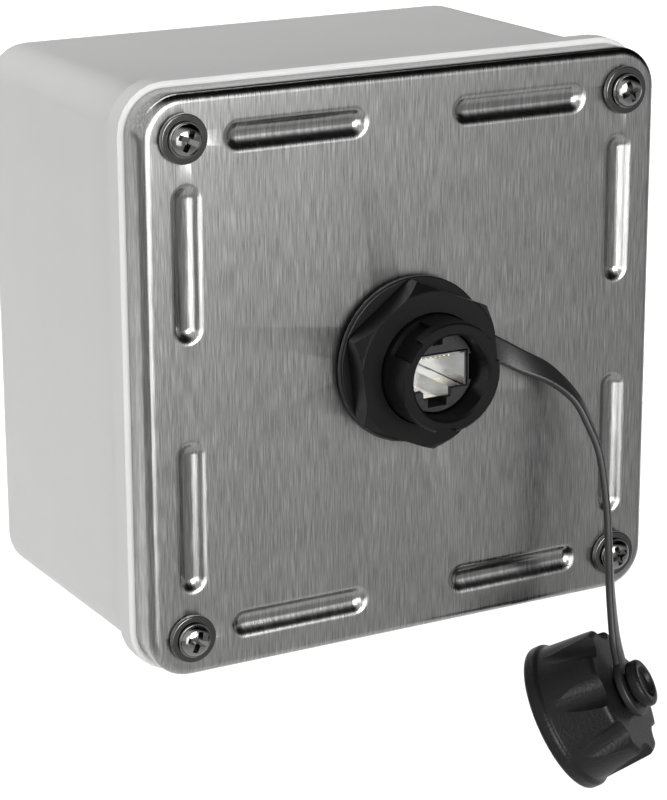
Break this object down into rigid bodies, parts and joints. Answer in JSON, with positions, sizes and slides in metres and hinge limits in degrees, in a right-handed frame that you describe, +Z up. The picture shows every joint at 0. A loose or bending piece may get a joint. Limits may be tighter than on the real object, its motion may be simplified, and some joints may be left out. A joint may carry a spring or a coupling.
{
  "type": "wall-mounted network inlet box",
  "caption": "Deep square plastic wall box with a screwed stainless cover, a sealed bayonet RJ45 data receptacle through it, and a fluted dust cap hanging on a rubber strap.",
  "frame": {"origin": "centre of the flat rear mounting face", "axes": "+Z up, +Y out of the back into the wall, so the cover faces -Y; +X to the right seen from the front"},
  "size_m": [0.1164, 0.1065, 0.1493],
  "materials": {
    "box_plastic": "smooth moulded light grey",
    "stainless": "fine vertical brushing",
    "bright_steel": "polished",
    "brass": "turned",
    "gold": "plated",
    "seal_rubber": "matt",
    "black_plastic": "fine moulded texture",
    "strap_rubber": "satin",
    "cap_plastic": "fine grain"
  },
  "bodies": {
    "box": {"box_body": "box_plastic", "screw_insert_1": "brass", "screw_insert_2": "brass", "screw_insert_3": "brass", "screw_insert_4": "brass", "cover_gasket": "seal_rubber", "cover_plate": "stainless", "screw_seal_1": "seal_rubber", "screw_seal_2": "seal_rubber", "screw_seal_3": "seal_rubber", "screw_seal_4": "seal_rubber", "screw_washer_1": "bright_steel", "screw_washer_2": "bright_steel", "screw_washer_3": "bright_steel", "screw_washer_4": "bright_steel", "cover_screw_1": "bright_steel", "cover_screw_2": "bright_steel", "cover_screw_3": "bright_steel", "cover_screw_4": "bright_steel", "panel_gasket": "seal_rubber", "tether_ring": "strap_rubber", "hex_nut": "black_plastic", "receptacle_body": "black_plastic", "rear_seal": "seal_rubber", "jack_insert": "black_plastic", "jack_shield": "bright_steel", "contact_comb": "black_plastic", "contact_1": "gold", "contact_2": "gold", "contact_3": "gold", "contact_4": "gold", "contact_5": "gold", "contact_6": "gold", "contact_7": "gold", "contact_8": "gold", "rear_jack": "black_plastic", "rear_shield": "bright_steel", "cable_grommet": "seal_rubber"},
    "tether_mid": {"strap_mid": "strap_rubber"},
    "tether_lower": {"strap_lower": "strap_rubber"},
    "cap": {"cap_shell": "cap_plastic", "cap_seal": "seal_rubber"}
  },
  "joints": [
    {"name": "tether_swing", "type": "hinge", "parent": "box", "child": "tether_mid", "pos_m": [0.0343, -0.0841, -0.0124], "axis": [0, 1, 0], "range_deg": [-30, 30]},
    {"name": "tether_lift", "type": "hinge", "parent": "tether_mid", "child": "tether_lower", "pos_m": [0.0389, -0.089, -0.0435], "axis": [-1, 0, 0], "range_deg": [0, 55]},
    {"name": "cap_swivel", "type": "hinge", "parent": "tether_lower", "child": "cap", "pos_m": [0.0395, -0.0969, -0.0699], "axis": [0.6217, -0.6017, 0.5014], "continuous": true}
  ]
}
